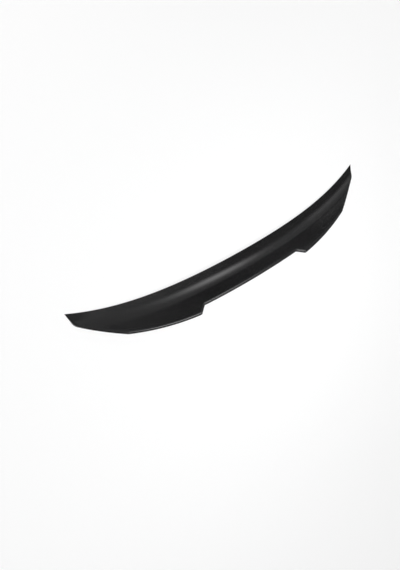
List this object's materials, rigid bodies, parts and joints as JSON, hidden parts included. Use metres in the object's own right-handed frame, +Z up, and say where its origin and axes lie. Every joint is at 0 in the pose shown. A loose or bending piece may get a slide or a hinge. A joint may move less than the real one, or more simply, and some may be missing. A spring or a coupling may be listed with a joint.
{
  "type": "car rear spoiler",
  "caption": "Gloss black stick-on boot lid spoiler: a crescent moulded shell with a hollow cove, a raised trailing lip stepped down in the middle, tapered tips and a ribbed open underside.",
  "frame": {"origin": "under the middle of the part, level with its lowest edge, on the plane of symmetry", "axes": "+X across the car, +Y towards the front of the car, +Z up, as it sits on the boot lid"},
  "size_m": [1.1973, 0.1846, 0.0779],
  "materials": {
    "gloss_black_abs": "polished gloss black ABS, satin on the underside"
  },
  "bodies": {
    "root": {"spoiler_shell": "gloss_black_abs"}
  },
  "joints": []
}
